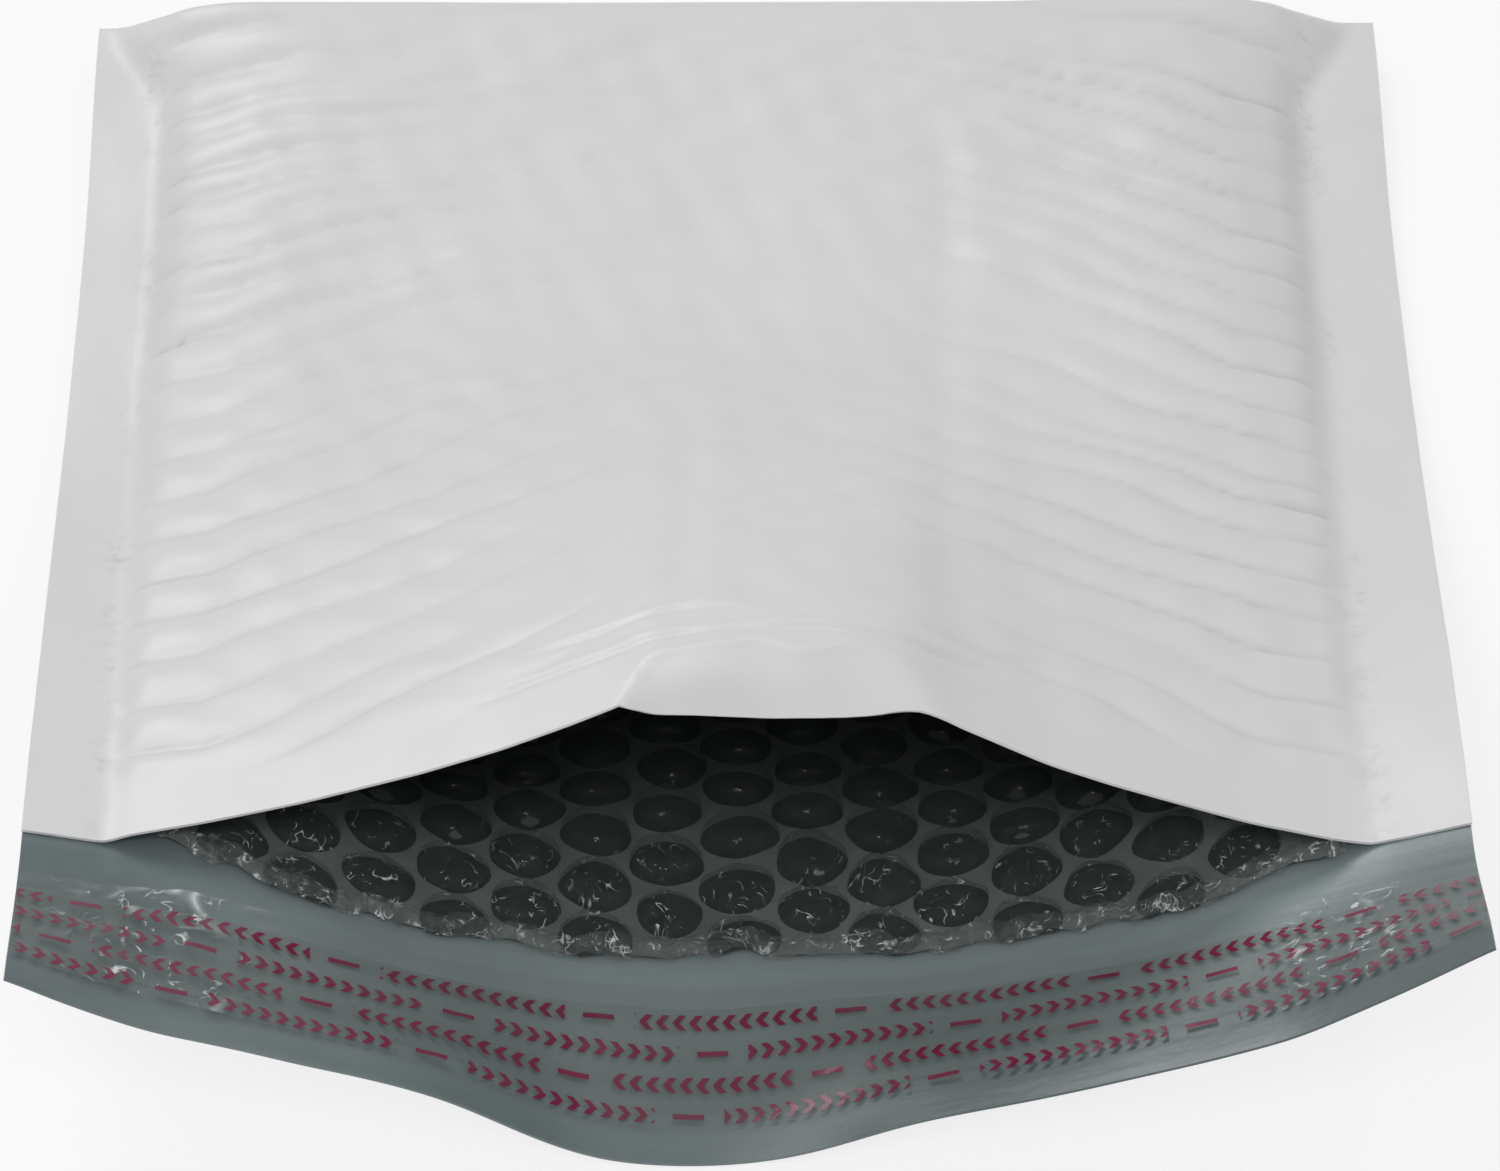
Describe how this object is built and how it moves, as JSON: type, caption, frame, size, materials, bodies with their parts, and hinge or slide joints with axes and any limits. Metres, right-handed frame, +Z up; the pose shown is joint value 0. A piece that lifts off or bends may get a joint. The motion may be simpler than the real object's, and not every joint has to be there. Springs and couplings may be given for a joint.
{
  "type": "padded envelope",
  "caption": "Padded mailing envelope of plastic film with a bubble lining, lying on its back with its mouth open and its closing lip covered by a release liner.",
  "frame": {"origin": "on the table, under the middle of the bounding box", "axes": "+Z up from the table, +Y from the mouth towards the bottom fold, +X to the right seen from the mouth"},
  "size_m": [0.184, 0.235, 0.0424],
  "materials": {
    "white_film": "satin white outside, blue-grey inside",
    "clear_bubble_film": "clear and glossy, over the grey inside of the outer film",
    "clear_adhesive": "clear and wet looking",
    "clear_liner": "clear and glossy, with rows of small magenta marks"
  },
  "bodies": {
    "root": {"outer_film": "white_film", "bubble_lining": "clear_bubble_film", "adhesive_strip": "clear_adhesive", "release_liner": "clear_liner"}
  },
  "joints": []
}
